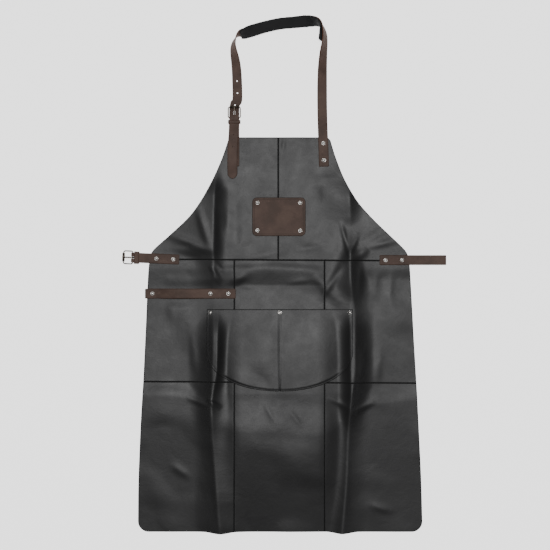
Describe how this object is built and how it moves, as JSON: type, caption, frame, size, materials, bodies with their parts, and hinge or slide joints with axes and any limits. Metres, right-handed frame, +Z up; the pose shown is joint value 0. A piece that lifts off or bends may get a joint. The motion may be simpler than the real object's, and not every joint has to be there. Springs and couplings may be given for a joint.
{
  "type": "leather apron",
  "caption": "Leather work apron with a padded neck strap, waist straps with an open roller buckle, a half-round pocket and a towel strap.",
  "frame": {"origin": "on the surface that the apron lies on, under the middle of the pocket", "axes": "+X to the picture's right, +Y from the hem towards the neck, +Z up through the apron's face"},
  "size_m": [0.69, 1.1026, 0.0297],
  "materials": {
    "leather_black": "satin",
    "leather_brown": "satin, burnished edges",
    "pad_black": "matt",
    "nickel": "antique silver",
    "bronze": "dark bronze"
  },
  "bodies": {
    "apron": {"bib_left": "leather_black", "bib_right": "leather_black", "waist_left": "leather_black", "waist_centre": "leather_black", "waist_right": "leather_black", "skirt_left": "leather_black", "skirt_centre": "leather_black", "skirt_right": "leather_black", "pocket": "leather_black", "patch": "leather_brown", "towel_strap": "leather_brown", "waist_strap_right": "leather_brown", "waist_strap_left": "leather_brown", "waist_keeper": "leather_brown", "neck_strap": "leather_brown", "neck_buckle_strap": "leather_brown", "neck_keeper": "leather_brown", "neck_pad": "pad_black", "neck_buckle_frame": "bronze", "neck_buckle_roller": "bronze", "neck_buckle_prong": "bronze", "patch_rivet_left_low": "nickel", "patch_rivet_left_high": "nickel", "patch_rivet_right_low": "nickel", "patch_rivet_right_high": "nickel", "pocket_rivet_left": "nickel", "pocket_rivet_middle": "nickel", "pocket_rivet_right": "nickel", "towel_rivet_1": "nickel", "towel_rivet_2": "nickel", "towel_rivet_3": "nickel", "waist_right_rivet_1": "nickel", "waist_right_rivet_2": "nickel", "waist_left_rivet_1": "nickel", "waist_left_rivet_2": "nickel", "neck_right_rivet_1": "nickel", "neck_right_rivet_2": "nickel", "neck_left_rivet_1": "nickel", "neck_left_rivet_2": "nickel"},
    "waist_buckle": {"waist_buckle_frame": "bronze"},
    "waist_prong": {"waist_buckle_prong": "bronze"},
    "waist_roller": {"waist_buckle_roller": "bronze"}
  },
  "joints": [
    {"name": "waist_buckle_swing", "type": "hinge", "parent": "apron", "child": "waist_buckle", "pos_m": [-0.31253, 0.19688, 0.00569], "axis": [0.0436, 0.999, 0], "range_deg": [0, 50]},
    {"name": "waist_prong_swing", "type": "hinge", "parent": "waist_buckle", "child": "waist_prong", "pos_m": [-0.31253, 0.19688, 0.00569], "axis": [0.0436, 0.999, 0], "range_deg": [0, 38]},
    {"name": "waist_roller_spin", "type": "hinge", "parent": "waist_buckle", "child": "waist_roller", "pos_m": [-0.3325, 0.19775, 0.00282], "axis": [0.0436, 0.999, 0], "continuous": true}
  ]
}
